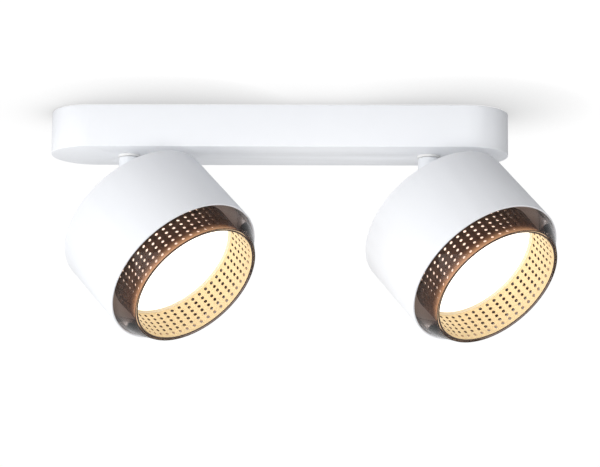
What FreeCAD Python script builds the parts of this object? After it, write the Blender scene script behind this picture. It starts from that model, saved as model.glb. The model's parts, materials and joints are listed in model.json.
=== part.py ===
"""Twin spotlight bar for a ceiling: a shallow white bar with two drum-shaped heads.

Millimetres, +Z up. The origin is the middle of the bar's mounting face, which lies on the
ceiling; +X runs along the bar and -Y faces the room. Each head hangs from a hollow stem that
swivels in the bar, and tilts on a pin through the stem's forked end. A head is drawn hanging
straight down with the pin at its origin, and its placement then swivels and tilts it.
"""
import FreeCAD, Part
import math
import os
import Sketcher
from FreeCAD import Placement, Rotation, Vector

doc = FreeCAD.newDocument("TwinSpotBar")

# ---------------------------------------------------------------- driving sizes
SIZES = {
    # bar cover
    "bar_length": 275.0,
    "bar_width": 50.0,
    "bar_height": 25.5,
    "cover_wall": 1.2,
    # ceiling bracket
    "bracket_length": 208.0,
    "bracket_sheet": 1.5,
    "cover_play": 0.3,          # gap between cover and bracket
    "tab_spacing": 120.0,
    "tab_width": 14.0,
    "tab_depth": 12.0,
    "slot_spacing": 140.0,      # ceiling screws, centre to centre
    "slot_width": 4.5,
    "slot_length": 12.0,
    "cover_screw_size": 3.0,
    "cover_screw_length": 5.4,
    "screw_play": 0.1,          # radial room of a screw in its hole
    # supply side inside the bar
    "cable_place": 52.0,        # cable entry, along X
    "cable_bore": 8.0,
    "grommet_wall": 1.5,
    "grommet_lip": 1.5,
    "driver_place": -23.0,
    "driver_length": 70.0,
    "driver_width": 28.0,
    "driver_height": 17.0,
    "driver_ear": 6.0,
    "ear_sheet": 2.0,
    "small_screw": 3.0,
    "head_height": 1.8,
    "terminal_place": 30.0,
    "terminal_length": 16.0,
    "terminal_width": 18.0,
    "terminal_height": 11.0,
    "terminal_mouth": 4.0,
    "earth_place": 18.0,
    "lead_width": 3.2,
    "lead_thick": 1.6,
    "lead_bend": 7.0,
    "lead_drop": 9.0,           # height of the leads below the ceiling
    # swivel stems
    "stem_spacing": 180.0,
    "stem_size": 13.0,
    "stem_neck": 8.0,
    "stem_bore": 5.0,
    "stem_seam": 0.3,           # gap between stem and collar, and between swivelling faces
    "pivot_drop": 32.5,         # tilt pin below the bar's underside
    "fork_gap": 4.8,
    "fork_end": 5.2,            # fork tip below the pin
    "pin_size": 4.0,
    "shaft_play": 0.05,         # radial running clearance
    "collar_size": 13.8,
    "collar_height": 1.4,
    "bush_wall": 1.0,
    "bush_rise": 0.9,           # bush above the cover's inside face
    "stop_disc_size": 17.0,
    "stop_disc_sheet": 1.0,
    "stop_reach": 12.0,
    "stop_width": 1.6,
    "peg_circle": 11.0,
    "peg_size": 1.6,
    "nut_flats": 13.0,
    "nut_height": 4.0,
    "neck_spare": 2.0,          # thread past the nut
    # drum housing
    "housing_size": 99.5,
    "housing_depth": 52.7,
    "housing_wall": 1.0,
    "housing_back": 2.0,
    "back_drop": 9.0,           # housing's back below the pin
    "post_circle": 86.0,
    "post_size": 7.0,
    "post_length": 25.0,
    "tongue_sheet": 4.2,
    "tongue_width": 12.4,
    "tongue_play": 0.3,
    "hinge_base": 30.0,
    "hinge_sheet": 2.5,
    "hinge_screws": 22.0,
    "blind_depth": 1.4,
    # lamp
    "sink_play": 1.0,
    "sink_sheet": 3.0,
    "fin_count": 12.0,
    "fin_inner": 8.0,
    "fin_outer": 37.0,
    "fin_sheet": 1.5,
    "fin_height": 18.0,
    "board_size": 66.0,
    "board_sheet": 1.6,
    "chip_count": 12.0,
    "chip_circle": 44.0,
    "chip_length": 3.5,
    "chip_width": 2.8,
    "chip_height": 0.7,
    "lead_hole": 7.0,
    "lead_side": 3.9,           # head lead, off the head's axis
    # front
    "frame_gap": 9.2,           # lamp plate to front frame
    "frame_sheet": 2.0,
    "frame_play": 0.3,
    "leg_size": 6.0,
    "diffuser_size": 77.8,
    "diffuser_play": 0.1,
    "ring_size": 79.0,          # across the perforated ring's inner flats
    "ring_sheet": 1.0,
    "ring_flats": 25.0,
    "ring_lip": 1.3,
    "ring_lip_sheet": 1.0,
    "ring_rows": 6.0,
    "row_pitch": 3.37,
    "first_row": 3.7,           # ring's back edge to the first row
    "hole_side": 1.6,
    "ring_depth": 23.9,
    "smoked_wall": 1.6,
    "smoked_play": 0.25,
    "smoked_sleeve": 11.9,      # straight part inside the housing
    "smoked_nose": 0.6,         # wall at the front rim
    "smoked_depth": 24.2,
    "nose_play": 0.15,
}

# where each head points as shown: swivel from the front towards +X, and tilt from straight down
SWIVEL = {"left": 55.3, "right": 48.5}
TILT = {"left": 45.7, "right": 44.5}
SIDE = {"left": -1, "right": 1}

sheet = doc.addObject("Spreadsheet::Sheet", "Sizes")
for row, (alias, number) in enumerate(SIZES.items(), start=1):
    sheet.set(f"A{row}", alias)
    sheet.set(f"B{row}", str(number))
    sheet.setAlias(f"B{row}", alias)
doc.recompute()


class Size:
    """A length worked out from the sheet: its number, and the expression that gives it."""

    def __init__(self, value, text):
        self.value = value
        self.text = text

    def __add__(self, other):
        other = as_size(other)
        return Size(self.value + other.value, f"({self.text} + {other.text})")

    def __sub__(self, other):
        other = as_size(other)
        return Size(self.value - other.value, f"({self.text} - {other.text})")

    def __mul__(self, factor):
        factor = as_size(factor)
        return Size(self.value * factor.value, f"({self.text} * {factor.text})")

    def __truediv__(self, divisor):
        divisor = as_size(divisor)
        return Size(self.value / divisor.value, f"({self.text} / {divisor.text})")

    def __neg__(self):
        return Size(-self.value, f"(-1 * {self.text})")


def as_size(number):
    return number if isinstance(number, Size) else Size(float(number), f"{float(number):.6f}")


class Sizes:
    """The sheet's cells as named sizes."""


s = Sizes()
for alias, number in SIZES.items():
    setattr(s, alias, Size(float(sheet.get(alias)), f"Sizes.{alias}"))
NOTHING = as_size(0)

# ---------------------------------------------------------------- levels shared by pieces
underside = -s.bar_height
cover_floor = underside + s.cover_wall
pin_level = underside - s.pivot_drop
bracket_face = -s.bracket_sheet
bush_top = cover_floor + s.bush_rise
# in a head's own frame, below the pin
housing_mouth = -(s.back_drop + s.housing_depth)
back_inside = -(s.back_drop + s.housing_back)
sink_back = back_inside - s.post_length
sink_face = sink_back - s.sink_sheet
board_face = sink_face - s.board_sheet
frame_back = sink_face - s.frame_gap
frame_face = frame_back - s.frame_sheet
housing_inside = s.housing_size / 2 - s.housing_wall

pieces = []


# ---------------------------------------------------------------- building helpers
def piece(shape_object, label, place=None):
    """Name a finished sub-part and put it where it belongs."""
    shape_object.Label = label
    if place is not None:
        shape_object.Placement = place
    pieces.append(shape_object)
    return shape_object


def bind(target, **sizes):
    """Tie properties of a document object to the sheet."""
    for name, size in sizes.items():
        setattr(target, name, as_size(size).value)
        target.setExpression(name, as_size(size).text)


def primitive(kind, name, at=(0, 0, 0), turn=None, **sizes):
    """A Part primitive with its sizes and its corner or centre tied to the sheet."""
    solid = doc.addObject(f"Part::{kind}", name)
    bind(solid, **sizes)
    if turn is not None:
        solid.Placement = Placement(Vector(), turn)
    for axis, size in zip("xyz", at):
        solid.setExpression(f"Placement.Base.{axis}", as_size(size).text)
    return solid


def block(name, x, y, z):
    """A box between pairs of sizes along X, Y and Z."""
    return primitive("Box", name, (x[0], y[0], z[0]), Length=as_size(x[1]) - x[0],
                     Width=as_size(y[1]) - y[0], Height=as_size(z[1]) - z[0])


def rod(name, across, low, high, x=0, y=0):
    """An upright cylinder."""
    return primitive("Cylinder", name, (x, y, low), Radius=as_size(across) / 2,
                     Height=as_size(high) - low)


def stud(name, across, low, high, x=0, y=0, sides=8):
    """An upright bar with a few flat sides, for small hidden screws, posts and their holes."""
    bar = primitive("Prism", name, (x, y, low), Circumradius=as_size(across) / 2,
                    Height=as_size(high) - low)
    bar.Polygon = sides
    return bar


def stud_along_y(name, across, start, end, x, z):
    """An eight-sided bar that runs along +Y from start to end."""
    bar = primitive("Prism", name, (x, start, z), Rotation(Vector(1, 0, 0), -90),
                    Circumradius=as_size(across) / 2, Height=as_size(end) - start)
    bar.Polygon = 8
    return bar


def rod_along_x(name, across, start, end, y=0, z=0):
    """A cylinder that runs along +X from start to end."""
    return primitive("Cylinder", name, (start, y, z), Rotation(Vector(0, 1, 0), 90),
                     Radius=as_size(across) / 2, Height=as_size(end) - start)


def join(name, *solids):
    fused = doc.addObject("Part::MultiFuse", name)
    fused.Shapes = list(solids)
    fused.Refine = True
    return fused


def cut(name, base, *tools):
    difference = doc.addObject("Part::Cut", name)
    difference.Base = base
    difference.Tool = tools[0] if len(tools) == 1 else join(name + "_cutters", *tools)
    difference.Refine = True
    return difference


def group(name, *solids):
    """Several like solids as one sub-part."""
    together = doc.addObject("Part::Compound", name)
    together.Links = list(solids)
    return together


def origin_plane(body, role):
    return next(plane for plane in body.Origin.OriginFeatures if plane.Role == role)


def outline(body, name, plane, *loops):
    """A sketch of closed loops of straight edges, every corner pinned by two sizes."""
    sketch = body.newObject("Sketcher::SketchObject", name)
    sketch.AttachmentSupport = (origin_plane(body, plane), [""])
    sketch.MapMode = "FlatFace"
    first = 0
    for corners in loops:
        count = len(corners)
        spots = [(as_size(x), as_size(y)) for x, y in corners]
        for i in range(count):
            here, after = spots[i], spots[(i + 1) % count]
            sketch.addGeometry(Part.LineSegment(Vector(here[0].value, here[1].value, 0),
                                                Vector(after[0].value, after[1].value, 0)))
        for i in range(count):
            after = first + (i + 1) % count
            sketch.addConstraint(Sketcher.Constraint("Coincident", first + i, 2, after, 1))
            for kind, size in zip(("DistanceX", "DistanceY"), spots[i]):
                pin = Sketcher.Constraint(kind, first + i, 1, size.value)
                number = sketch.addConstraint(pin)
                sketch.setExpression(f"Constraints[{number}]", size.text)
        first += count
    return sketch


def turned(name, corners):
    """A body turned about Z from an outline of radius and height."""
    body = doc.addObject("PartDesign::Body", name)
    sketch = outline(body, name + "_outline", "XZ_Plane", corners)
    turn = body.newObject("PartDesign::Revolution", name + "_turning")
    turn.Profile = sketch
    turn.ReferenceAxis = (sketch, ["V_Axis"])
    turn.Angle = 360.0
    body.Tip = turn
    return body


def pocket(body, name, plane, loops, depth=None, away=False):
    """Cut loops out of a body: right through both ways, or one way to a depth."""
    sketch = outline(body, name + "_outline", plane, *loops)
    hollow = body.newObject("PartDesign::Pocket", name)
    hollow.Profile = sketch
    if depth is None:
        hollow.Type = "ThroughAll"
        hollow.Midplane = True
    else:
        hollow.Type = "Length"
        bind(hollow, Length=depth)
        hollow.Reversed = away
    body.Tip = hollow
    return hollow


def rectangle(x, y):
    return [(x[0], y[0]), (x[1], y[0]), (x[1], y[1]), (x[0], y[1])]


# ---------------------------------------------------------------- the bar
def stadium(name, inset, low, high):
    """The bar's outline, straight sides with half-round ends, drawn in by an inset."""
    end = s.bar_width / 2 - inset
    centre = s.bar_length / 2 - s.bar_width / 2
    middle = block(name + "_middle", (-centre, centre), (-end, end), (low, high))
    ends = [rod(f"{name}_end_{side}", end * 2, low, high, x=centre * SIDE[side]) for side in SIDE]
    return join(name, middle, *ends)


def bar_cover():
    """White sheet cover, open to the ceiling, with a hole for each stem."""
    outside = stadium("cover_outside", NOTHING, underside, NOTHING)
    tools = [stadium("cover_hollow", s.cover_wall, cover_floor, s.cover_wall)]
    for side in SIDE:
        place = s.stem_spacing / 2 * SIDE[side]
        hole = s.stem_neck + (s.shaft_play + s.bush_wall + s.screw_play) * 2
        tools.append(rod(f"cover_hole_{side}", hole, underside - 1, cover_floor + 1, x=place))
        tools.append(stud_along_y(f"cover_screw_hole_{side}", s.cover_screw_size + s.screw_play * 2,
                                 NOTHING, s.bar_width, s.tab_spacing / 2 * SIDE[side],
                                 -s.tab_depth * 2 / 3))
    piece(cut("cover", outside, *tools), "bar_cover")


def tab_outer():
    return s.bar_width / 2 - s.cover_wall - s.cover_play


def ceiling_bracket():
    """Sheet steel strip against the ceiling, with slots, a cable hole and four bent tabs."""
    half = s.bracket_length / 2
    edge = tab_outer()
    solids = [block("bracket_strip", (-half, half), (-edge, edge), (bracket_face, NOTHING))]
    tools = []
    for side in SIDE:
        place = s.tab_spacing / 2 * SIDE[side]
        across = (place - s.tab_width / 2, place + s.tab_width / 2)
        for name, inner, outer in (("front", -edge, -edge + s.bracket_sheet),
                                   ("back", edge - s.bracket_sheet, edge)):
            solids.append(block(f"bracket_tab_{name}_{side}", across, (inner, outer),
                                (-s.tab_depth, bracket_face)))
        tools.append(stud_along_y(f"tab_hole_{side}", s.cover_screw_size + s.screw_play * 2,
                                 NOTHING, s.bar_width, place, -s.tab_depth * 2 / 3))
        slot = s.slot_spacing / 2 * SIDE[side]
        run = (s.slot_length - s.slot_width) / 2
        tools.append(block(f"slot_{side}", (slot - run, slot + run),
                           (-s.slot_width / 2, s.slot_width / 2), (bracket_face - 1, 1)))
        tools += [rod(f"slot_end_{side}_{end}", s.slot_width, bracket_face - 1, 1, x=slot + run * end)
                  for end in (-1, 1)]
    tools.append(rod("cable_hole", s.cable_bore + (s.grommet_wall + s.screw_play) * 2,
                     bracket_face - 1, 1, x=s.cable_place))
    tools.append(stud("earth_hole", s.small_screw + s.screw_play * 2, bracket_face - 1, 1,
                     x=s.terminal_place, y=s.earth_place))
    tools += [stud(f"driver_screw_hole_{end}", s.small_screw + s.screw_play * 2, bracket_face - 1, 1,
                  x=driver_ear_middle(end)) for end in (-1, 1)]
    piece(cut("bracket", join("bracket_sheet_metal", *solids), *tools), "ceiling_bracket")


def cover_screws():
    """Two headless screws that hold the cover to the bracket's back tabs."""
    screws = [stud_along_y(f"cover_screw_{side}", s.cover_screw_size,
                          s.bar_width / 2 - s.cover_screw_length, s.bar_width / 2,
                          s.tab_spacing / 2 * SIDE[side], -s.tab_depth * 2 / 3) for side in SIDE]
    piece(group("cover_screw_pair", *screws), "cover_screws")


def cable_grommet():
    """Rubber bush in the bracket's cable hole, its lip under the sheet."""
    neck = s.cable_bore + s.grommet_wall * 2
    lip = neck + s.grommet_lip * 2
    low = bracket_face - s.grommet_lip
    collar = stud("grommet_lip", lip, low, bracket_face, x=s.cable_place, sides=12)
    tube = stud("grommet_neck", neck, low, NOTHING, x=s.cable_place, sides=12)
    bore = rod("grommet_bore", s.cable_bore, low - 1, 1, x=s.cable_place)
    piece(cut("grommet", join("grommet_moulding", collar, tube), bore), "cable_grommet")


def driver_ear_middle(end):
    return s.driver_place + (s.driver_length + s.driver_ear) / 2 * end


def led_driver():
    """Moulded LED supply: a box with a screw ear at each end, held under the bracket."""
    half = s.driver_length / 2
    side = s.driver_width / 2
    reach = half + s.driver_ear
    case = block("driver_box", (s.driver_place - half, s.driver_place + half), (-side, side),
                 (bracket_face - s.driver_height, bracket_face))
    ears = block("driver_ears", (s.driver_place - reach, s.driver_place + reach),
                 (-side / 2, side / 2), (bracket_face - s.ear_sheet, bracket_face))
    holes = [stud(f"driver_ear_hole_{end}", s.small_screw + s.screw_play * 2,
                 bracket_face - s.ear_sheet - 1, 1, x=driver_ear_middle(end)) for end in (-1, 1)]
    piece(cut("driver", join("driver_moulding", case, ears), *holes), "led_driver")


def pan_screw(name, under, length, x=0, y=0, upwards=True):
    """A small screw: a round head below `under`, its shank going up by `length`."""
    way = 1 if upwards else -1
    low, high = (under - s.head_height, under) if upwards else (under, under + s.head_height)
    head = stud(name + "_head", s.small_screw * 1.8, low, high, x=x, y=y)
    ends = (under, under + length) if way == 1 else (under - length, under)
    shank = stud(name + "_shank", s.small_screw, ends[0], ends[1], x=x, y=y)
    return join(name, head, shank)


def driver_screws():
    """Two screws through the driver's ears into the bracket."""
    screws = [pan_screw(f"driver_screw_{end}", bracket_face - s.ear_sheet,
                        s.ear_sheet + s.bracket_sheet - s.screw_play, x=driver_ear_middle(end))
              for end in (-1, 1)]
    piece(group("driver_screw_pair", *screws), "driver_screws")


def terminal_block():
    """Three-way supply terminal under the bracket, its wire mouths towards the cable entry."""
    x = (s.terminal_place - s.terminal_length / 2, s.terminal_place + s.terminal_length / 2)
    level = bracket_face - s.terminal_height / 2
    half = s.terminal_mouth / 2
    case = block("terminal_case", x, (-s.terminal_width / 2, s.terminal_width / 2),
                 (bracket_face - s.terminal_height, bracket_face))
    pitch = s.terminal_width / 3
    mouths = [block(f"terminal_mouth_{way}", (x[1] - s.terminal_mouth, x[1] + 1),
                    (pitch * way - half, pitch * way + half), (level - half, level + half))
              for way in (-1, 0, 1)]
    piece(cut("terminal", case, *mouths), "terminal_block")


def earth_screw():
    """Brass earthing screw in the bracket beside the terminal."""
    screw = pan_screw("earth", bracket_face, s.bracket_sheet - s.screw_play,
                      x=s.terminal_place, y=s.earth_place)
    piece(screw, "earth_screw")


def supply_links():
    """Two short wires from the terminal to the driver."""
    start = s.driver_place + s.driver_length / 2
    end = s.terminal_place - s.terminal_length / 2
    half = s.lead_thick / 2
    level = bracket_face - s.terminal_height / 2
    links = [block(f"supply_link_{way}", (start, end),
                   (s.terminal_width / 3 * way - half, s.terminal_width / 3 * way + half),
                   (level - half, level + half)) for way in (-1, 1)]
    piece(group("supply_link_pair", *links), "supply_links")


def swivel_bushes():
    """Nylon bushes in the cover; their flanges are the thin collars that show under the bar."""
    bore = s.stem_neck / 2 + s.shaft_play
    neck = bore + s.bush_wall
    low = underside - s.collar_height
    bushes = []
    for side in SIDE:
        bush = turned(f"bush_{side}", [(bore, low), (s.collar_size / 2, low),
                                       (s.collar_size / 2, underside), (neck, underside),
                                       (neck, bush_top), (bore, bush_top)])
        bush.setExpression("Placement.Base.x", (s.stem_spacing / 2 * SIDE[side]).text)
        bushes.append(bush)
    piece(group("bush_pair", *bushes), "swivel_bushes")


def rotation_stops():
    """A peg on the cover's floor behind each stem, which the stem's stop disc meets."""
    pegs = [stud(f"stop_peg_{side}", s.peg_size, cover_floor,
                bush_top + s.stem_seam + s.stop_disc_sheet,
                x=s.stem_spacing / 2 * SIDE[side], y=s.peg_circle) for side in SIDE]
    piece(group("stop_pegs", *pegs), "rotation_stop_pegs")


def head_lead_route(side):
    """Corners of the lead from the driver's end to deep inside a stem's bore."""
    level = -s.lead_drop.value
    stem = s.stem_spacing.value / 2 * SIDE[side]
    deep = (pin_level + s.tongue_width / 2 + s.tongue_play * 3).value
    driver_end = s.driver_place.value + s.driver_length.value / 2 * SIDE[side]
    corners = [Vector(driver_end, 0, level), Vector(stem, 0, level), Vector(stem, 0, deep)]
    if side == "right":
        beside = -(s.terminal_width.value / 2 + s.lead_width.value)
        past = s.cable_place.value + s.cable_bore.value
        corners = [Vector(driver_end, beside, level), Vector(past, beside, level)] + corners[1:]
    return corners


def bent_route(corners, radius):
    """Straight runs joined by tangent arcs of one radius."""
    edges = []
    start = corners[0]
    for before, corner, after in zip(corners, corners[1:], corners[2:]):
        back = (before - corner).normalize()
        ahead = (after - corner).normalize()
        half_turn = (math.pi - back.getAngle(ahead)) / 2
        reach = radius * math.tan(half_turn)
        enter = corner + back * reach
        leave = corner + ahead * reach
        inward = (back + ahead).normalize()
        middle = corner + inward * (radius / math.cos(half_turn) - radius)
        edges.append(Part.LineSegment(start, enter).toShape())
        edges.append(Part.Arc(enter, middle, leave).toShape())
        start = leave
    edges.append(Part.LineSegment(start, corners[-1]).toShape())
    return Part.Wire(edges)


def supply_lead(side):
    """Flat twin lead from the driver, bent down into the stem's bore."""
    corners = head_lead_route(side)
    route = bent_route(corners, s.lead_bend.value)
    half_width = s.lead_width.value / 2
    half_thick = s.lead_thick.value / 2
    start = corners[0]
    ring = [start + Vector(0, y, z) for y, z in ((-half_width, -half_thick), (half_width, -half_thick),
                                                 (half_width, half_thick), (-half_width, half_thick))]
    section = Part.makePolygon(ring + ring[:1])
    lead = doc.addObject("Part::Feature", f"lead_{side}")
    lead.Shape = route.makePipeShell([section], True, False, 1)
    piece(lead, f"supply_lead_{side}")


def bar_pieces():
    bar_cover()
    ceiling_bracket()
    cover_screws()
    cable_grommet()
    led_driver()
    driver_screws()
    terminal_block()
    earth_screw()
    supply_links()
    swivel_bushes()
    rotation_stops()


# ---------------------------------------------------------------- a stem and its swivel
def stem_place(side):
    """Stems are drawn about the pin, upright, facing the front."""
    spot = Vector(s.stem_spacing.value / 2 * SIDE[side], 0, pin_level.value)
    return Placement(spot, Rotation(Vector(0, 0, 1), SWIVEL[side]))


def above_pin(level):
    return level - pin_level


def swivel_stem(side):
    """Hollow stem: threaded neck through the bar, shoulder, and a fork for the tilt pin."""
    shoulder = above_pin(underside - s.collar_height - s.stem_seam)
    neck_top = above_pin(bush_top + s.stem_seam + s.stop_disc_sheet) + s.nut_height + s.neck_spare
    outer = s.stem_size / 2
    body = turned(f"stem_{side}", [(s.stem_bore / 2, -s.fork_end), (outer, -s.fork_end),
                                   (outer, shoulder), (s.stem_neck / 2, shoulder),
                                   (s.stem_neck / 2, neck_top), (s.stem_bore / 2, neck_top)])
    fork_top = s.tongue_width / 2 + s.tongue_play
    pocket(body, f"fork_{side}", "XZ_Plane",
           [rectangle((-s.fork_gap / 2, s.fork_gap / 2), (-s.fork_end - 1, fork_top))])
    doc.recompute()
    hole = body.newObject("Sketcher::SketchObject", f"pin_hole_{side}_outline")
    hole.AttachmentSupport = (origin_plane(body, "YZ_Plane"), [""])
    hole.MapMode = "FlatFace"
    hole.addGeometry(Part.Circle(Vector(0, 0, 0), Vector(0, 0, 1), s.pin_size.value / 2))
    hole.addConstraint(Sketcher.Constraint("Coincident", 0, 3, -1, 1))
    hole.addConstraint(Sketcher.Constraint("Radius", 0, s.pin_size.value / 2))
    hole.setExpression("Constraints[1]", (s.pin_size / 2 + s.shaft_play).text)
    drilled = body.newObject("PartDesign::Pocket", f"pin_hole_{side}")
    drilled.Profile = hole
    drilled.Type = "ThroughAll"
    drilled.Midplane = True
    body.Tip = drilled
    piece(body, f"swivel_stem_{side}", stem_place(side))


def tilt_pin(side):
    """Pin through the fork and the head's tongue, just short of flush with the stem."""
    end = s.stem_size / 2 - s.screw_play * 2
    piece(group(f"pin_{side}", rod_along_x(f"pin_core_{side}", s.pin_size, -end, end)),
          f"tilt_pin_{side}", stem_place(side))


def stop_disc(side):
    """Keyed disc on the neck; its tab meets the peg at either end of the swivel."""
    low = above_pin(bush_top + s.stem_seam)
    high = low + s.stop_disc_sheet
    disc = stud(f"disc_{side}", s.stop_disc_size, low, high, sides=24)
    tab = block(f"disc_tab_{side}", (-s.stop_width / 2, s.stop_width / 2),
                (-s.stop_reach, NOTHING), (low, high))
    bore = stud(f"disc_bore_{side}", s.stem_neck + s.screw_play * 2, low - 1, high + 1, sides=24)
    piece(cut(f"stop_{side}", join(f"disc_sheet_{side}", disc, tab), bore),
          f"stop_disc_{side}", stem_place(side))


def stem_nut(side):
    """Hexagon nut that holds the stem up in the bar."""
    low = above_pin(bush_top + s.stem_seam + s.stop_disc_sheet)
    corners = s.nut_flats / 2 / math.cos(math.pi / 6)
    hexagon = stud(f"nut_hexagon_{side}", corners * 2, low, low + s.nut_height, sides=6)
    bore = stud(f"nut_bore_{side}", s.stem_neck + s.screw_play * 2, low - 1, low + s.nut_height + 1,
                sides=24)
    piece(cut(f"nut_{side}", hexagon, bore), f"stem_nut_{side}", stem_place(side))


def stem_pieces(side):
    swivel_stem(side)
    tilt_pin(side)
    stop_disc(side)
    stem_nut(side)


# ---------------------------------------------------------------- a head
def head_place(side):
    """A head is drawn hanging straight down from the pin."""
    aim = Rotation(Vector(0, 0, 1), SWIVEL[side]) * Rotation(Vector(1, 0, 0), -TILT[side])
    return Placement(stem_place(side).Base, aim)


def round_the_axis(count, circle, start=0.0):
    """Angle and centre of each of `count` places on a circle of a given diameter."""
    for number in range(count):
        angle = math.radians(start + 360.0 * number / count)
        yield number, circle / 2 * math.cos(angle), circle / 2 * math.sin(angle)


def drum_housing(side):
    """White cup: side wall, flat back, slot for the tongue and three screw posts."""
    outer = s.housing_size / 2
    back = -s.back_drop
    cup = turned(f"cup_{side}", [(NOTHING, back_inside), (NOTHING, back), (outer, back),
                                 (outer, housing_mouth), (housing_inside, housing_mouth),
                                 (housing_inside, back_inside)])
    posts = [stud(f"post_{side}_{number}", s.post_size, sink_back, back_inside + s.housing_back / 2,
                 x=x, y=y) for number, x, y in round_the_axis(3, s.post_circle, 90)]
    gap = (s.tongue_sheet / 2 + s.tongue_play, s.tongue_width / 2 + s.tongue_play)
    slot = block(f"tongue_slot_{side}", (-gap[0], gap[0]), (-gap[1], gap[1]), (back_inside - 1, 1))
    blind = [stud(f"blind_{side}_{number}", s.small_screw + s.screw_play * 2, back_inside - 1,
                 back_inside + s.blind_depth, x=x, y=y)
             for number, x, y in round_the_axis(2, s.hinge_screws, 0)]
    threads = [stud(f"thread_{side}_{number}", s.small_screw + s.screw_play * 2, sink_back - 1,
                   sink_back + s.post_size, x=x, y=y)
               for number, x, y in round_the_axis(3, s.post_circle, 90)]
    piece(cut(f"housing_{side}", join(f"housing_casting_{side}", cup, *posts), slot, *blind, *threads),
          f"drum_housing_{side}", head_place(side))


def hinge_bracket(side):
    """Cast base inside the back, with a tongue through the slot to the tilt pin."""
    low = back_inside - s.hinge_sheet
    base = block(f"hinge_base_{side}", (-s.hinge_base / 2, s.hinge_base / 2),
                 (-s.tongue_width / 2, s.tongue_width / 2), (low, back_inside))
    sheet_half = s.tongue_sheet / 2
    width = s.tongue_width / 2
    web = block(f"tongue_web_{side}", (-sheet_half, sheet_half), (-width, width), (back_inside - 1, 0))
    eye = rod_along_x(f"tongue_eye_{side}", s.tongue_width, -sheet_half, sheet_half)
    pin_hole = rod_along_x(f"tongue_hole_{side}", s.pin_size + s.shaft_play * 2, -sheet_half - 1,
                           sheet_half + 1)
    groove = block(f"lead_groove_{side}", (-s.lead_thick / 2 - s.screw_play, s.lead_thick / 2 + s.screw_play),
                   (s.lead_side - s.lead_thick / 2 - s.screw_play, s.lead_side + s.lead_thick / 2 + s.screw_play),
                   (low - 1, s.tongue_width))
    holes = [stud(f"hinge_hole_{side}_{number}", s.small_screw + s.screw_play * 2, low - 1, back_inside + 1,
                 x=x, y=y) for number, x, y in round_the_axis(2, s.hinge_screws, 0)]
    piece(cut(f"hinge_{side}", join(f"hinge_casting_{side}", base, web, eye), pin_hole, groove, *holes),
          f"hinge_bracket_{side}", head_place(side))


def hinge_screws(side):
    """Two screws through the hinge base into the housing's back."""
    screws = [pan_screw(f"hinge_screw_{side}_{number}", back_inside - s.hinge_sheet,
                        s.hinge_sheet + s.blind_depth - s.screw_play, x=x, y=y)
              for number, x, y in round_the_axis(2, s.hinge_screws, 0)]
    piece(group(f"hinge_screw_pair_{side}", *screws), f"hinge_screws_{side}", head_place(side))


def heat_sink(side):
    """Aluminium plate on the posts, with radial fins behind it."""
    plate = stud(f"sink_plate_{side}", (housing_inside - s.sink_play) * 2, sink_face, sink_back, sides=24)
    fins = []
    count = int(s.fin_count.value)
    for number in range(count):
        fin = block(f"fin_{side}_{number}", (s.fin_inner, s.fin_outer), (-s.fin_sheet / 2, s.fin_sheet / 2),
                    (sink_back - 0.5, sink_back + s.fin_height))
        turn = Rotation(Vector(0, 0, 1), 360.0 * (number + 0.5) / count)
        corner = turn.multVec(Vector(s.fin_inner.value, -s.fin_sheet.value / 2, 0))
        for axis in "xy":
            fin.setExpression(f"Placement.Base.{axis}", None)
        fin.Placement = Placement(Vector(corner.x, corner.y, (sink_back - 0.5).value), turn)
        fin.setExpression("Placement.Base.z", (sink_back - 0.5).text)
        fins.append(fin)
    lead_way = block(f"lead_way_{side}", (-s.lead_hole / 2, s.lead_hole / 2), (-s.lead_hole, s.lead_hole),
                     (sink_face - 1, sink_back + 1))
    holes = [stud(f"sink_hole_{side}_{number}", s.small_screw + s.screw_play * 2, sink_face - 1, sink_back + 1,
                 x=x, y=y) for number, x, y in round_the_axis(3, s.post_circle, 90)]
    piece(cut(f"sink_{side}", join(f"sink_casting_{side}", plate, *fins), lead_way, *holes),
          f"heat_sink_{side}", head_place(side))


def heat_sink_screws(side):
    """Three screws that hold the heat sink to the housing's posts."""
    screws = [pan_screw(f"sink_screw_{side}_{number}", sink_face, s.sink_sheet + s.post_size / 2, x=x, y=y)
              for number, x, y in round_the_axis(3, s.post_circle, 90)]
    piece(group(f"sink_screw_set_{side}", *screws), f"heat_sink_screws_{side}", head_place(side))


def led_board(side):
    """Metal-core board flat on the heat sink."""
    board = stud(f"board_{side}", s.board_size, board_face, sink_face, sides=24)
    piece(group(f"board_sheet_{side}", board), f"led_board_{side}", head_place(side))


def led_chips(side):
    """Ring of light-emitting packages on the board."""
    chips = []
    count = int(s.chip_count.value)
    for number in range(count):
        turn = Rotation(Vector(0, 0, 1), 360.0 * number / count)
        chip = doc.addObject("Part::Box", f"chip_{side}_{number}")
        bind(chip, Length=s.chip_length, Width=s.chip_width, Height=s.chip_height)
        corner = Vector((s.chip_circle - s.chip_length).value / 2, -s.chip_width.value / 2, 0)
        chip.Placement = Placement(turn.multVec(corner) + Vector(0, 0, (board_face - s.chip_height).value), turn)
        chips.append(chip)
    piece(group(f"chip_ring_{side}", *chips), f"led_chips_{side}", head_place(side))


def head_lead(side):
    """Lead from the tongue's groove down to the back of the board's plate."""
    half = s.lead_thick / 2
    lead = block(f"head_lead_core_{side}", (-half, half), (s.lead_side - half, s.lead_side + half),
                 (sink_face, s.pin_size / 2 + s.lead_thick))
    piece(group(f"head_lead_pair_{side}", lead), f"head_lead_{side}", head_place(side))


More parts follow.
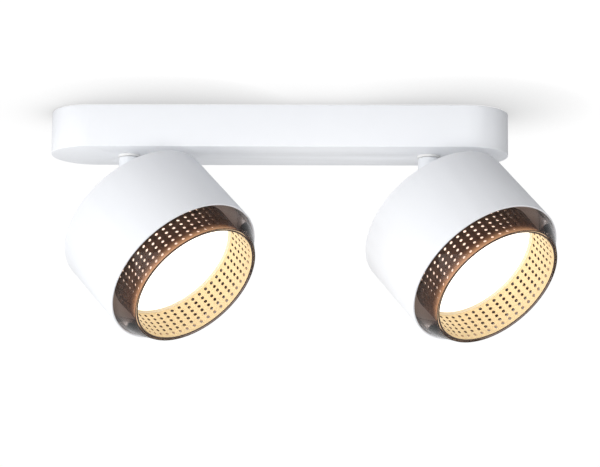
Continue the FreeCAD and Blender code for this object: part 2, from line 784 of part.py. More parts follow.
def front_frame(side):
    """Moulded frame that carries the diffuser and both rings, on three legs."""
    outer = housing_inside - s.frame_play
    inner = s.diffuser_size / 2 + s.diffuser_play
    sides = int(s.ring_flats.value)
    plate = stud(f"frame_plate_{side}", outer * 2, frame_face, frame_back, sides=sides)
    mouth = stud(f"frame_mouth_{side}", inner * 2, frame_face - 1, frame_back + 1, sides=sides)
    ring = cut(f"frame_ring_{side}", plate, mouth)
    legs = [stud(f"leg_{side}_{number}", s.leg_size, frame_back - s.frame_sheet / 2, sink_face, x=x, y=y)
            for number, x, y in round_the_axis(3, s.post_circle, 30)]
    piece(join(f"frame_{side}", ring, *legs), f"front_frame_{side}", head_place(side))


def diffuser(side):
    """Opal disc in the front frame."""
    disc = stud(f"opal_{side}", s.diffuser_size, frame_face, frame_back, sides=int(s.ring_flats.value))
    piece(group(f"opal_sheet_{side}", disc), f"diffuser_{side}", head_place(side))


def ring_holes(name):
    """Every hole of the perforated sheet as one set of small blocks, a column to each flat."""
    flats = int(s.ring_flats.value)
    side_length = s.hole_side.value
    depth = s.ring_sheet.value * 4
    start = s.ring_size.value / 2 - s.ring_sheet.value
    blocks = []
    for column in range(flats):
        turn = Placement(Vector(), Rotation(Vector(0, 0, 1), 360.0 * (column + 0.5) / flats))
        for number in range(int(s.ring_rows.value)):
            level = (frame_face - s.first_row - s.row_pitch * number).value
            hole = Part.makeBox(depth, side_length, side_length,
                                Vector(start, -side_length / 2, level - side_length / 2))
            hole.Placement = turn * hole.Placement
            blocks.append(hole)
    holes = doc.addObject("Part::Feature", name)
    holes.Shape = Part.makeCompound(blocks)
    return holes


def perforated_ring(side):
    """Ring folded from perforated sheet into flats, with a short lip that takes the diffuser."""
    corner = 1 / math.cos(math.pi / s.ring_flats.value)
    front = frame_face - s.ring_depth
    outside = primitive("Prism", f"ring_outside_{side}", (0, 0, front),
                        Circumradius=(s.ring_size / 2 + s.ring_sheet) * corner, Height=s.ring_depth)
    inside = primitive("Prism", f"ring_inside_{side}", (0, 0, front - 1),
                       Circumradius=s.ring_size / 2 * corner, Height=s.ring_depth + 1 - s.ring_lip_sheet)
    mouth = primitive("Prism", f"ring_mouth_{side}", (0, 0, front - 1),
                      Circumradius=(s.ring_size / 2 - s.ring_lip) * corner, Height=s.ring_depth + 2)
    for prism in (outside, inside, mouth):
        prism.Polygon = int(s.ring_flats.value)
    folded = cut(f"ring_sheet_{side}", outside, inside, mouth)
    punched = doc.addObject("Part::Cut", f"perforated_{side}")
    punched.Base = folded
    punched.Tool = ring_holes(f"ring_holes_{side}")
    piece(punched, f"perforated_ring_{side}", head_place(side))


def ruled_loft(name, sides, sections):
    """A many-sided solid through upright polygons, each given by its corner radius and height."""
    polygons = []
    for number, (radius, level) in enumerate(sections):
        polygon = doc.addObject("Part::RegularPolygon", f"{name}_{number}")
        polygon.Polygon = sides
        bind(polygon, Circumradius=radius)
        polygon.setExpression("Placement.Base.z", level.text)
        polygons.append(polygon)
    loft = doc.addObject("Part::Loft", name)
    loft.Sections = polygons
    loft.Solid = True
    loft.Ruled = True
    loft.Linearize = True
    return loft


def smoked_ring(side):
    """Clear smoked moulding: a sleeve in the housing, then a cone down to the front rim."""
    outer = housing_inside - s.smoked_play
    inner = outer - s.smoked_wall
    sides = 2 * int(s.ring_flats.value)
    ring_corner = (s.ring_size / 2 + s.ring_sheet) / math.cos(math.pi / s.ring_flats.value)
    nose_inner = (ring_corner + s.nose_play) / math.cos(math.pi / sides)
    nose_outer = nose_inner + s.smoked_nose
    turn = frame_face - s.smoked_sleeve
    front = frame_face - s.smoked_depth
    slope = (outer - nose_outer) / (s.smoked_depth - s.smoked_sleeve)
    nose_back = turn - (inner - nose_inner) / slope
    outside = ruled_loft(f"smoked_outside_{side}", sides, [(outer, frame_face), (outer, turn),
                                                           (nose_outer, front)])
    inside = ruled_loft(f"smoked_inside_{side}", sides, [(inner, frame_face + 1), (inner, turn),
                                                         (nose_inner, nose_back), (nose_inner, front - 1)])
    piece(cut(f"smoked_{side}", outside, inside), f"smoked_ring_{side}", head_place(side))


def head_pieces(side):
    drum_housing(side)
    hinge_bracket(side)
    hinge_screws(side)
    heat_sink(side)
    heat_sink_screws(side)
    led_board(side)
    led_chips(side)
    head_lead(side)
    front_frame(side)
    diffuser(side)
    perforated_ring(side)
    smoked_ring(side)


# ---------------------------------------------------------------- build, check and write
bar_pieces()
for side in SIDE:
    supply_lead(side)
    stem_pieces(side)
    head_pieces(side)
doc.recompute()

faults = [f"{item.Name}: {item.State}" for item in doc.Objects
          if "Invalid" in item.State or "Error" in item.State]
for finished in pieces:
    if finished.Shape.isNull() or not finished.Shape.isValid():
        faults.append(f"{finished.Label}: bad shape")
if faults:
    raise SystemExit("\n".join(faults))

os.makedirs("parts", exist_ok=True)
for finished in pieces:
    finished.Shape.exportStep(f"parts/{finished.Label}.step")
    print(f"{finished.Label}: {finished.Shape.Volume:.1f} mm3, {len(finished.Shape.Solids)} solids")
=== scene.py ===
"""Twin spotlight bar on a white ceiling, dressed for a picture.

Metres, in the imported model's frame: the origin is the middle of the bar's mounting face, +X
runs along the bar, -Y faces the room and +Z goes up into the ceiling.
"""

import bmesh
import bpy
import json
import math
import numpy as np
from mathutils import Matrix, Vector


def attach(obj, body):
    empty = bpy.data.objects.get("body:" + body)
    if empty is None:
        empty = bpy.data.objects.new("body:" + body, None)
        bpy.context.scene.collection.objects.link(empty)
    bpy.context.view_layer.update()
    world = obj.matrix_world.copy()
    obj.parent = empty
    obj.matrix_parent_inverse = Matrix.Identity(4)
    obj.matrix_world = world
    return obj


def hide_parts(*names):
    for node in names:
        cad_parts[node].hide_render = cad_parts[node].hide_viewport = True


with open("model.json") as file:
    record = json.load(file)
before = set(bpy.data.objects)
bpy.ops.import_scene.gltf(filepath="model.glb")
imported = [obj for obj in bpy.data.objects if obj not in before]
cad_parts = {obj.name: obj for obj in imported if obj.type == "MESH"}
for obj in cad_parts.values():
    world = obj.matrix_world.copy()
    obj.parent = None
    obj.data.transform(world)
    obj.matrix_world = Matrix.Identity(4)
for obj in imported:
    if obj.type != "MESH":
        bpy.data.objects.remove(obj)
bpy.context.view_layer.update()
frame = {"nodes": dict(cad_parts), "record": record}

# ------------------------------------------------------------------ white painted bar and drums
# The bar's cover and the drum housings are thin metal shells with a fine matt white powder
# coat. Their cut edges are softened by the coat, so each gets a small rounded bevel.
BAR_BEVEL = 0.0009
DRUM_BEVEL = 0.0002


def node_material(name, colour, roughness, metallic=0.0, mottle=0.03, mottle_size=90.0,
                  grain=0.02, grain_size=1500.0, streak=(1.0, 1.0, 1.0)):
    """Principled finish: slow noise shifts the colour by `mottle`, fine noise gives the grain."""
    material = bpy.data.materials.new(name)
    material.use_nodes = True
    nodes, links = material.node_tree.nodes, material.node_tree.links
    shader = nodes["Principled BSDF"]
    place = nodes.new("ShaderNodeTexCoord")
    stretch = nodes.new("ShaderNodeMapping")
    stretch.inputs["Scale"].default_value = streak
    slow = nodes.new("ShaderNodeTexNoise")
    slow.inputs["Scale"].default_value = mottle_size
    slow.inputs["Detail"].default_value = 3.0
    tint = nodes.new("ShaderNodeMix")
    tint.data_type = "RGBA"
    dark = [channel * (1.0 - mottle) for channel in colour]
    light = [min(channel * (1.0 + mottle), 1.0) for channel in colour]
    tint.inputs["A"].default_value = (*dark, 1.0)
    tint.inputs["B"].default_value = (*light, 1.0)
    fine = nodes.new("ShaderNodeTexNoise")
    fine.inputs["Scale"].default_value = grain_size
    fine.inputs["Detail"].default_value = 2.0
    sheen = nodes.new("ShaderNodeMapRange")
    sheen.inputs["To Min"].default_value = max(roughness - 0.06, 0.02)
    sheen.inputs["To Max"].default_value = min(roughness + 0.06, 1.0)
    relief = nodes.new("ShaderNodeBump")
    relief.inputs["Strength"].default_value = grain
    relief.inputs["Distance"].default_value = 0.0002
    links.new(place.outputs["Object"], stretch.inputs["Vector"])
    links.new(stretch.outputs["Vector"], slow.inputs["Vector"])
    links.new(stretch.outputs["Vector"], fine.inputs["Vector"])
    links.new(slow.outputs["Fac"], tint.inputs["Factor"])
    links.new(tint.outputs["Result"], shader.inputs["Base Color"])
    links.new(fine.outputs["Fac"], sheen.inputs["Value"])
    links.new(sheen.outputs["Result"], shader.inputs["Roughness"])
    links.new(fine.outputs["Fac"], relief.inputs["Height"])
    links.new(relief.outputs["Normal"], shader.inputs["Normal"])
    shader.inputs["Metallic"].default_value = metallic
    return material


white_paint = node_material("white_powder_coat", (0.838, 0.853, 0.880), 0.5, mottle=0.012,
                            mottle_size=60.0, grain=0.12, grain_size=2600.0)


def softened_copy(node, width, material, body):
    """The node's own skin with its doubles merged, a rounded bevel on every sharp edge."""
    skin = frame["nodes"][node].data.copy()
    shell = bmesh.new()
    shell.from_mesh(skin)
    bmesh.ops.remove_doubles(shell, verts=shell.verts, dist=1e-6)
    bmesh.ops.dissolve_limit(shell, angle_limit=math.radians(0.5), verts=shell.verts,
                             edges=shell.edges)
    shell.to_mesh(skin)
    shell.free()
    skin.materials.clear()
    skin.materials.append(material)
    skin.shade_smooth()
    dressed = bpy.data.objects.new(f"{node}_dressed", skin)
    bpy.context.scene.collection.objects.link(dressed)
    edge = dressed.modifiers.new("soft_edges", "BEVEL")
    edge.width = width
    edge.segments = 3
    edge.limit_method = "ANGLE"
    edge.angle_limit = math.radians(35.0)
    edge.harden_normals = True
    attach(dressed, body)
    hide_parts(node)


softened_copy("bar_cover", BAR_BEVEL, white_paint, "bar")
for side in ("left", "right"):
    softened_copy(f"drum_housing_{side}", DRUM_BEVEL, white_paint, f"head_{side}")

# ------------------------------------------------------------------ stems and hinges
# Each stem is a turned tube with a fork cut in its lower end. The drum's cast tongue sits in
# the fork on a steel pin. Both are coated like the bar, and a nylon collar closes the top.
STEM_BEVEL = 0.0002
HINGE_BEVEL = 0.0003
for side in ("left", "right"):
    softened_copy(f"swivel_stem_{side}", STEM_BEVEL, white_paint, f"stem_{side}")
    softened_copy(f"hinge_bracket_{side}", HINGE_BEVEL, white_paint, f"head_{side}")
nylon = node_material("white_nylon", (0.80, 0.80, 0.79), 0.42, mottle=0.02, grain=0.05)

# ------------------------------------------------------------------ perforated ring
# Thin sheet rolled into a tube round the light, punched with a grid of round holes: brushed
# gold inside, dark brown coating outside and on the cut edges, a plain band at each end.
RING_INNER = 0.0395
RING_OUTER = 0.0405
LIP_INNER = 0.0382
LIP_THICK = 0.0012
CUT_EASE = 0.00012
RING_BACK = 0.0502
RING_FRONT = 0.0741
FIRST_ROW = 0.0539
ROW_PITCH = 0.00337
ROWS, COLUMNS = 6, 50
HOLE_RADIUS = 0.00105
HOLE_CORNERS = 16
# Depths over which the brown coat takes its painted amber glow, a painted light standing in for the
# disc's light leaking out at the front.
PAINTED_GLOW_FROM, PAINTED_GLOW_FULL = 0.0660, 0.0740
BROWN, GOLD, RIM, LIP = range(4)
HEAD_AIM = {"left": (55.3, 45.7), "right": (48.5, 44.5)}
PIN_DROP, STEM_REACH = 0.058, 0.090


def head_matrix(side):
    """From a head hanging straight down, pin at the origin, to where it is at rest."""
    swivel, tilt = (math.radians(angle) for angle in HEAD_AIM[side])
    across = -STEM_REACH if side == "left" else STEM_REACH
    return (Matrix.Translation((across, 0.0, -PIN_DROP)) @ Matrix.Rotation(swivel, 4, "Z")
            @ Matrix.Rotation(-tilt, 4, "X"))


def turn_about_axis(angle, radius, depth):
    """Points at an angle round the head's axis, a radius from it, and a depth below the pin."""
    return np.stack([radius * np.cos(angle), radius * np.sin(angle), -depth], axis=-1)


def place_mesh(name, points, quads, side, materials, picks=None):
    """A mesh from quads, doubles merged, moved with its head to the rest place.

    Its `depth` attribute keeps how far each point lies below the pin along the head's axis.
    """
    matrix = np.array(head_matrix(side))
    world = points.reshape(-1, 3) @ matrix[:3, :3].T + matrix[:3, 3]
    mesh = bpy.data.meshes.new(name)
    mesh.from_pydata(world.tolist(), [], quads.reshape(-1, 4).tolist())
    for material in materials:
        mesh.materials.append(material)
    if picks is not None:
        mesh.polygons.foreach_set("material_index", picks.astype(np.int32))
    shell = bmesh.new()
    shell.from_mesh(mesh)
    bmesh.ops.remove_doubles(shell, verts=shell.verts, dist=2e-6)
    bmesh.ops.recalc_face_normals(shell, faces=shell.faces)
    shell.to_mesh(mesh)
    shell.free()
    mesh.shade_smooth()
    mesh.set_sharp_from_angle(angle=math.radians(32.0))
    spots = np.empty(len(mesh.vertices) * 3)
    mesh.vertices.foreach_get("co", spots)
    back = np.linalg.inv(matrix)
    depth = -(spots.reshape(-1, 3) @ back[:3, :3].T + back[:3, 3])[:, 2]
    depths = mesh.attributes.new("depth", "FLOAT", "POINT")
    depths.data.foreach_set("value", depth.astype(np.float32))
    made = bpy.data.objects.new(name, mesh)
    bpy.context.scene.collection.objects.link(made)
    return made


def punched_cells(radius):
    """Rectangles with a round hole: a rim of points on the hole, and one on the cell's edge.

    A point at angle t round a hole lies at (radius cos t, radius sin t) from its centre, and the
    cell's edge point is the same direction stretched until its larger part reaches 1.
    """
    turn = np.arange(HOLE_CORNERS) * 2 * math.pi / HOLE_CORNERS
    ring = np.stack([np.cos(turn), np.sin(turn)], axis=-1)
    edge = ring / np.abs(ring).max(axis=1, keepdims=True)
    half = np.array([math.pi / COLUMNS, ROW_PITCH / 2])
    hole = ring * np.array([HOLE_RADIUS / radius, HOLE_RADIUS])
    both = np.stack([hole, edge * half])
    columns = (np.arange(COLUMNS) + 0.5) * 2 * math.pi / COLUMNS
    rows = FIRST_ROW + np.arange(ROWS) * ROW_PITCH
    columns, rows = columns[:, None, None, None], rows[None, :, None, None]
    angle = columns + both[None, None, :, :, 0] + 0 * rows
    depth = rows + both[None, None, :, :, 1] + 0 * columns
    return turn_about_axis(angle, radius, depth)


def turn_profile(profile, angle):
    """Each (radius, depth) of a profile at every angle round the head's axis."""
    profile = np.array(profile)
    return turn_about_axis(angle[None, :] + 0 * profile[:, :1], profile[:, :1],
                           profile[:, 1:] + 0 * angle)


def perforated_tube():
    """The ring's points, its quads, and the finish of each quad.

    A grid of punched cells on the inner and the outer radius, the walls of the holes between the
    two, and a plain band at each end: a profile turned through the angles of the cells' corners.
    """
    inner, outer = punched_cells(RING_INNER), punched_cells(RING_OUTER)
    count = COLUMNS * ROWS * 2 * HOLE_CORNERS
    index = np.arange(count).reshape(COLUMNS * ROWS, 2, HOLE_CORNERS)
    after = np.roll(index, -1, axis=2)
    flat = np.stack([index[:, 0], index[:, 1], after[:, 1], after[:, 0]], axis=-1)
    wall = np.stack([index[:, 0], after[:, 0], after[:, 0] + count, index[:, 0] + count], axis=-1)
    quads = [flat.reshape(-1, 4), (flat[..., ::-1] + count).reshape(-1, 4), wall.reshape(-1, 4)]
    finish = [np.full(len(part), shade) for part, shade in zip(quads, (GOLD, BROWN, BROWN))]
    points = [inner.reshape(-1, 3), outer.reshape(-1, 3)]
    steps = np.tan(np.array([-45.0, -22.5, 0.0, 22.5]) * math.pi / 180)
    columns = (np.arange(COLUMNS) + 0.5) * 2 * math.pi / COLUMNS
    around = (columns[:, None] + steps * math.pi / COLUMNS).ravel()
    first, last = FIRST_ROW - ROW_PITCH / 2, FIRST_ROW + (ROWS - 0.5) * ROW_PITCH
    back_band = [(RING_OUTER, first), (RING_OUTER, RING_BACK + CUT_EASE),
                 (RING_OUTER - CUT_EASE, RING_BACK), (LIP_INNER, RING_BACK),
                 (LIP_INNER, RING_BACK + CUT_EASE), (RING_INNER, RING_BACK + LIP_THICK),
                 (RING_INNER, first)]
    front_band = [(RING_INNER, last), (RING_INNER, RING_FRONT - CUT_EASE),
                  (RING_INNER + CUT_EASE, RING_FRONT), (RING_OUTER - CUT_EASE, RING_FRONT),
                  (RING_OUTER, RING_FRONT - CUT_EASE), (RING_OUTER, last)]
    start = 2 * count
    for band, shades in ((back_band, (BROWN, BROWN, BROWN, LIP, LIP, GOLD)),
                         (front_band, (GOLD, RIM, RIM, RIM, BROWN))):
        spots = turn_profile(band, around)
        grid = np.arange(len(band) * len(around)).reshape(len(band), -1) + start
        on = np.roll(grid, -1, axis=1)
        strip = np.stack([grid[:-1], grid[1:], on[1:], on[:-1]], axis=-1)
        shade = np.array(shades)[:, None] + 0 * strip[..., 0]
        points.append(spots.reshape(-1, 3))
        quads.append(strip.reshape(-1, 4))
        finish.append(shade.ravel())
        start += grid.size
    return np.concatenate(points), np.concatenate(quads), np.concatenate(finish)


gold_sheet = node_material("gold_anodised", (0.635, 0.51, 0.30), 0.45, metallic=0.1, mottle=0.04,
                           mottle_size=120.0, grain=0.0)


def depth_ramp(nodes, links, start, end):
    """Map Range node that goes from 0 to 1 between two depths."""
    depth = nodes.new("ShaderNodeAttribute")
    depth.attribute_name = "depth"
    reach = nodes.new("ShaderNodeMapRange")
    reach.inputs["From Min"].default_value = start
    reach.inputs["From Max"].default_value = end
    links.new(depth.outputs["Fac"], reach.inputs["Value"])
    return reach


def coat_with_painted_glow():
    """Dark brown coating with a painted amber glow near the front: its colour warms and it gives its
    own light there, standing in for the disc's light leaking out.
    """
    material = node_material("dark_brown_coat_painted_glow", (0.155, 0.100, 0.068), 0.5, mottle=0.10,
                             mottle_size=150.0, grain=0.0)
    nodes, links = material.node_tree.nodes, material.node_tree.links
    shader = nodes["Principled BSDF"]
    reach = depth_ramp(nodes, links, PAINTED_GLOW_FROM, PAINTED_GLOW_FULL)
    reach.interpolation_type = "SMOOTHSTEP"
    painted_amber = nodes.new("ShaderNodeMix")
    painted_amber.data_type = "RGBA"
    painted_amber.inputs["B"].default_value = (0.62, 0.42, 0.27, 1.0)
    brown = shader.inputs["Base Color"].links[0].from_socket
    links.new(reach.outputs["Result"], painted_amber.inputs["Factor"])
    links.new(brown, painted_amber.inputs["A"])
    links.new(painted_amber.outputs["Result"], shader.inputs["Base Color"])
    # Painted glow: the coat itself gives amber light near the front, though it is no lamp.
    glow = nodes.new("ShaderNodeMix")
    glow.data_type = "RGBA"
    glow.inputs["A"].default_value = (0.0, 0.0, 0.0, 1.0)
    glow.inputs["B"].default_value = (1.0, 0.72, 0.42, 1.0)
    edge = nodes.new("ShaderNodeMath")
    edge.operation = "POWER"
    edge.inputs[1].default_value = 3.0
    links.new(reach.outputs["Result"], edge.inputs[0])
    links.new(edge.outputs["Value"], glow.inputs["Factor"])
    links.new(glow.outputs["Result"], shader.inputs["Emission Color"])
    shader.inputs["Emission Strength"].default_value = 0.8
    return material


brown_coat_painted_glow = coat_with_painted_glow()
rim_coat = node_material("dark_brown_rim", (0.050, 0.026, 0.018), 0.4, mottle=0.06, grain=0.0)
lip_sheet = node_material("gold_lip", (0.93, 0.84, 0.66), 0.5, mottle=0.02, grain=0.0)
for side in ("left", "right"):
    spots, faces, finish = perforated_tube()
    ring = place_mesh(f"perforated_tube_{side}", spots, faces, side,
                      (brown_coat_painted_glow, gold_sheet, rim_coat, lip_sheet), finish)
    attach(ring, f"head_{side}")
    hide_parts(f"perforated_ring_{side}")

# ------------------------------------------------------------------ smoked ring
# A clear grey-brown moulding round the perforated tube: a straight sleeve inside the drum's
# lip, then a cone that narrows to the tube's front edge, polished all over.
SLEEVE_OUTER = 0.0485
SLEEVE_INNER = 0.0469
SLEEVE_END = 0.0621
NOSE_INNER = 0.0410
NOSE_OUTER = 0.0416
SMOKED_FRONT = 0.0744
# Depths over which the smoked tint goes from a painted paler tone beside the drum (painted light) to
# a painted darker tone at the front (painted shade over the front row of holes).
PAINTED_TINT_FROM, PAINTED_TINT_FULL = 0.0640, 0.0715
AROUND = 240


def lathe(profile, around):
    """A closed profile of radius and depth turned about the head's axis in `around` steps."""
    angle = np.arange(around) * 2 * math.pi / around
    near = np.arange(len(profile) * around).reshape(len(profile), -1)
    far = np.roll(near, -1, axis=0)
    quads = np.stack([near, far, np.roll(far, -1, axis=1), np.roll(near, -1, axis=1)], axis=-1)
    return turn_profile(profile, angle), quads.reshape(-1, 4)


def smoked_material():
    """Clear tinted plastic under a gloss coat. Its tint is painted paler beside the drum, a painted
    light where light would reach in behind it, and darker at the front, a painted shade over the
    front holes.
    """
    material = node_material("smoked_clear", (0.57, 0.44, 0.385), 0.04, mottle=0.03,
                             mottle_size=40.0, grain=0.0)
    nodes, links = material.node_tree.nodes, material.node_tree.links
    shader = nodes["Principled BSDF"]
    links.remove(shader.inputs["Roughness"].links[0])
    shader.inputs["Roughness"].default_value = 0.02
    reach = depth_ramp(nodes, links, PAINTED_TINT_FROM, PAINTED_TINT_FULL)
    # Painted light and shade: the tint is paler beside the drum and darker towards the front.
    painted_tint_fade = nodes.new("ShaderNodeMix")
    painted_tint_fade.data_type = "RGBA"
    painted_tint_fade.inputs["A"].default_value = (0.74, 0.635, 0.585, 1.0)
    smoke = shader.inputs["Base Color"].links[0].from_socket
    links.new(reach.outputs["Result"], painted_tint_fade.inputs["Factor"])
    links.new(smoke, painted_tint_fade.inputs["B"])
    links.new(painted_tint_fade.outputs["Result"], shader.inputs["Base Color"])
    shader.inputs["Transmission Weight"].default_value = 1.0
    shader.inputs["IOR"].default_value = 1.10
    shader.inputs["Coat Weight"].default_value = 0.25
    shader.inputs["Coat Roughness"].default_value = 0.05
    return material


smoked = smoked_material()
smoked_edge = node_material("smoked_edge", (0.045, 0.028, 0.020), 0.25, mottle=0.05, grain=0.0)
taper = (SLEEVE_OUTER - NOSE_OUTER) / (SMOKED_FRONT - SLEEVE_END)
nose_back = SLEEVE_END + (SLEEVE_INNER - NOSE_INNER) / taper
smoked_profile = [(SLEEVE_INNER, RING_BACK), (SLEEVE_OUTER, RING_BACK), (SLEEVE_OUTER, SLEEVE_END),
                  (NOSE_OUTER, SMOKED_FRONT), (NOSE_INNER, SMOKED_FRONT), (NOSE_INNER, nose_back),
                  (SLEEVE_INNER, SLEEVE_END)]
FRONT_FACE = 3
for side in ("left", "right"):
    spots, faces = lathe(smoked_profile, AROUND)
    front = np.arange(len(faces)) // AROUND == FRONT_FACE
    cone = place_mesh(f"smoked_cone_{side}", spots, faces, side, (smoked, smoked_edge), front)
    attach(cone, f"head_{side}")
    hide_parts(f"smoked_ring_{side}")

# ------------------------------------------------------------------ lit opal disc
# An opal acrylic disc closes the light at the ring's back. Lit from behind, it looks evenly
# white, and gives the gold sheet round it a warm light.
OPAL_RADIUS = 0.0389
OPAL_BACK = 0.0482
OPAL_EDGE = 0.0003
OPAL_CENTRE = 0.0001
OPAL_AROUND = 120


def lit_opal():
    """Opal plastic that gives its own warm white light."""
    material = node_material("lit_opal", (0.95, 0.93, 0.88), 0.45, mottle=0.01, mottle_size=30.0)
    shader = material.node_tree.nodes["Principled BSDF"]
    shader.inputs["Emission Color"].default_value = (1.0, 0.90, 0.78, 1.0)
    shader.inputs["Emission Strength"].default_value = 1.5
    return material


opal = lit_opal()
opal_profile = [(OPAL_CENTRE, OPAL_BACK), (OPAL_RADIUS - OPAL_EDGE, OPAL_BACK),
                (OPAL_RADIUS, OPAL_BACK + OPAL_EDGE), (OPAL_RADIUS, RING_BACK - OPAL_EDGE),
                (OPAL_RADIUS - OPAL_EDGE, RING_BACK), (OPAL_CENTRE, RING_BACK)]
for side in ("left", "right"):
    spots, faces = lathe(opal_profile, OPAL_AROUND)
    disc = place_mesh(f"opal_disc_{side}", spots, faces, side, (opal,))
    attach(disc, f"head_{side}")
    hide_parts(f"diffuser_{side}")

# ------------------------------------------------------------------ pieces inside
# Bracket, screws, supply, heat sinks, boards and leads keep the shapes they have, each in the
# finish of the real thing: zinc plate, cast aluminium, moulded plastic, rubber and brass.
INSIDE = {
    "zinc_steel": node_material("zinc_plate", (0.62, 0.63, 0.65), 0.32, metallic=1.0, mottle=0.10,
                                mottle_size=220.0, grain=0.15, grain_size=900.0,
                                streak=(0.15, 1.0, 1.0)),
    "black_rubber": node_material("black_rubber", (0.03, 0.03, 0.03), 0.75, mottle=0.15),
    "grey_plastic": node_material("grey_moulding", (0.72, 0.72, 0.70), 0.5, mottle=0.03, grain=0.2),
    "clear_white_plastic": node_material("terminal_moulding", (0.80, 0.80, 0.76), 0.35),
    "brass": node_material("brass", (0.70, 0.52, 0.24), 0.3, metallic=1.0, mottle=0.08, grain=0.1),
    "lead_sheath": node_material("lead_sheath", (0.78, 0.78, 0.77), 0.55, mottle=0.03),
    "bush_nylon": nylon,
    "raw_aluminium": node_material("cast_aluminium", (0.72, 0.73, 0.75), 0.45, metallic=1.0,
                                   mottle=0.07, grain=0.4, grain_size=1200.0),
    "board_white": node_material("white_resist", (0.88, 0.88, 0.86), 0.25, mottle=0.02),
    "phosphor": node_material("yellow_phosphor", (0.90, 0.72, 0.22), 0.4, mottle=0.06,
                              mottle_size=400.0),
    "white_plastic": node_material("white_moulding", (0.80, 0.80, 0.79), 0.5, mottle=0.03, grain=0.1),
    "white_paint": white_paint,
}
for entry in frame["record"]["subparts"]:
    node = frame["nodes"][entry["node"]]
    if entry["material_slot"] in INSIDE:
        node.data.materials.clear()
        node.data.materials.append(INSIDE[entry["material_slot"]])

# ------------------------------------------------------------------ ceiling
# A plain white ceiling, clear from above and open over the bar, so that the bar's inside can be
# looked at too. A soft shadow gathers where it meets the bar.
CEILING_REACH = 6.0
CEILING_LEVEL = 0.0003
SLOT_STRAIGHT = 0.1125
SLOT_RADIUS = 0.0245
STAGE_SIDES = 96


def ceiling_material():
    """White from below with a soft shadow, clear from above."""
    material = bpy.data.materials.new("ceiling_white")
    material.use_nodes = True
    nodes, links = material.node_tree.nodes, material.node_tree.links
    nodes.clear()
    out = nodes.new("ShaderNodeOutputMaterial")
    paint = nodes.new("ShaderNodeBsdfDiffuse")
    paint.inputs["Color"].default_value = (0.55, 0.55, 0.56, 1.0)
    glow = nodes.new("ShaderNodeEmission")
    glow.inputs["Strength"].default_value = 1.08
    corner = nodes.new("ShaderNodeAmbientOcclusion")
    corner.samples = 16
    corner.inputs["Distance"].default_value = 0.065
    soften = nodes.new("ShaderNodeMapRange")
    soften.inputs["To Min"].default_value = 0.40
    links.new(corner.outputs["AO"], soften.inputs["Value"])
    links.new(soften.outputs["Result"], glow.inputs["Color"])
    path = nodes.new("ShaderNodeLightPath")
    share = nodes.new("ShaderNodeMath")
    share.operation = "MULTIPLY"
    share.inputs[1].default_value = 0.90
    seen = nodes.new("ShaderNodeMixShader")
    clear = nodes.new("ShaderNodeBsdfTransparent")
    side_of = nodes.new("ShaderNodeNewGeometry")
    pick = nodes.new("ShaderNodeMixShader")
    links.new(path.outputs["Is Camera Ray"], share.inputs[0])
    links.new(share.outputs["Value"], seen.inputs["Fac"])
    links.new(paint.outputs["BSDF"], seen.inputs[1])
    links.new(glow.outputs["Emission"], seen.inputs[2])
    links.new(side_of.outputs["Backfacing"], pick.inputs["Fac"])
    links.new(seen.outputs["Shader"], pick.inputs[1])
    links.new(clear.outputs["BSDF"], pick.inputs[2])
    links.new(pick.outputs["Shader"], out.inputs["Surface"])
    return material


def open_ceiling():
    """Flat sheet that faces down, between a slot and a wide circle round it.

    At an angle t the slot's point is (+-straight + r cos t, r sin t), with the sign of cos t,
    and the circle's is (R cos t, R sin t).
    """
    turn = (np.arange(STAGE_SIDES) + 0.5) * 2.0 * math.pi / STAGE_SIDES
    ways = list(zip(np.cos(turn), np.sin(turn)))
    slot = [(math.copysign(SLOT_STRAIGHT, along) + SLOT_RADIUS * along, SLOT_RADIUS * across,
             CEILING_LEVEL) for along, across in ways]
    circle = [(CEILING_REACH * along, CEILING_REACH * across, CEILING_LEVEL)
              for along, across in ways]
    after = [(i + 1) % STAGE_SIDES for i in range(STAGE_SIDES)]
    quads = [(i, after[i], STAGE_SIDES + after[i], STAGE_SIDES + i) for i in range(STAGE_SIDES)]
    return slot + circle, quads


ceiling_mesh = bpy.data.meshes.new("ceiling")
spots, quads = open_ceiling()
ceiling_mesh.from_pydata(spots, [], quads)
ceiling_mesh.materials.append(ceiling_material())
ceiling = bpy.data.objects.new("ceiling", ceiling_mesh)
bpy.context.scene.collection.objects.link(ceiling)

# ------------------------------------------------------------------ light, world and camera
# Soft studio light: a white room that dims towards the right and above, a broad lamp in front
# and a weak one to the left, so that the drums' right flanks are in shade. The camera is below
# the ceiling and looks up along the bar's front.
BAR_MIDDLE = (0.0, 0.0, -0.07)
ROOM_LIT_FROM = (-0.6, 0.0, -0.8)
ROOM_DIM, ROOM_BRIGHT = 0.18, 1.0


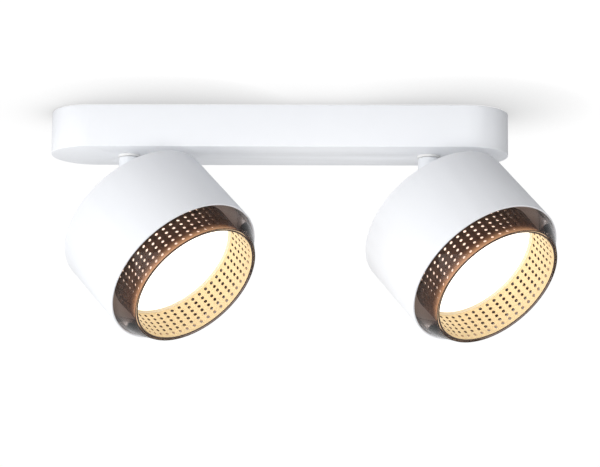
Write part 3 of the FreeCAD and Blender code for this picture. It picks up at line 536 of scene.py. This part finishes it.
def soft_lamp(name, spot, width, height, watts):
    """A rectangular white lamp at `spot` that faces the part."""
    lamp = bpy.data.lights.new(name, "AREA")
    lamp.shape = "RECTANGLE"
    lamp.size, lamp.size_y = width, height
    lamp.energy = watts
    holder = bpy.data.objects.new(name, lamp)
    holder.location = spot
    holder.rotation_euler = (Vector(BAR_MIDDLE) - Vector(spot)).to_track_quat("-Z", "Y").to_euler()
    holder.visible_camera = False
    bpy.context.scene.collection.objects.link(holder)


soft_lamp("front_window", (-0.8, -2.3, -0.9), width=3.0, height=1.7, watts=43.0)
soft_lamp("left_window", (-2.2, -0.4, -0.9), width=2.0, height=1.7, watts=3.0)

world = bpy.data.worlds.new("white_room")
world.use_nodes = True
nodes, links = world.node_tree.nodes, world.node_tree.links
room = nodes["Background"]
room.inputs["Color"].default_value = (1.0, 1.0, 1.0, 1.0)
path = nodes.new("ShaderNodeLightPath")
glimpse = nodes.new("ShaderNodeMath")
glimpse.operation = "MAXIMUM"
way = nodes.new("ShaderNodeTexCoord")
lean = nodes.new("ShaderNodeVectorMath")
lean.operation = "DOT_PRODUCT"
lean.inputs[1].default_value = ROOM_LIT_FROM
shade = nodes.new("ShaderNodeMapRange")
shade.inputs["From Min"].default_value = -1.0
shade.inputs["To Min"].default_value = ROOM_DIM
shade.inputs["To Max"].default_value = ROOM_BRIGHT
level = nodes.new("ShaderNodeMix")
level.inputs["B"].default_value = 1.0
links.new(path.outputs["Is Camera Ray"], glimpse.inputs[0])
links.new(path.outputs["Is Transmission Ray"], glimpse.inputs[1])
links.new(way.outputs["Generated"], lean.inputs[0])
links.new(lean.outputs["Value"], shade.inputs["Value"])
links.new(shade.outputs["Result"], level.inputs["A"])
links.new(glimpse.outputs["Value"], level.inputs["Factor"])
links.new(level.outputs["Result"], room.inputs["Strength"])
bpy.context.scene.world = world

camera = bpy.data.cameras.new("camera")
camera.sensor_width = 36.0
camera.lens = 140.93
camera.clip_start, camera.clip_end = 0.01, 50.0
eye = bpy.data.objects.new("camera", camera)
eye.location = (0.061525, -1.376206, -0.347693)
eye.rotation_euler = tuple(math.radians(angle) for angle in (101.28363, -0.59617, 1.89685))
bpy.context.scene.collection.objects.link(eye)
bpy.context.scene.camera = eye
bpy.context.scene.view_settings.view_transform = "Standard"
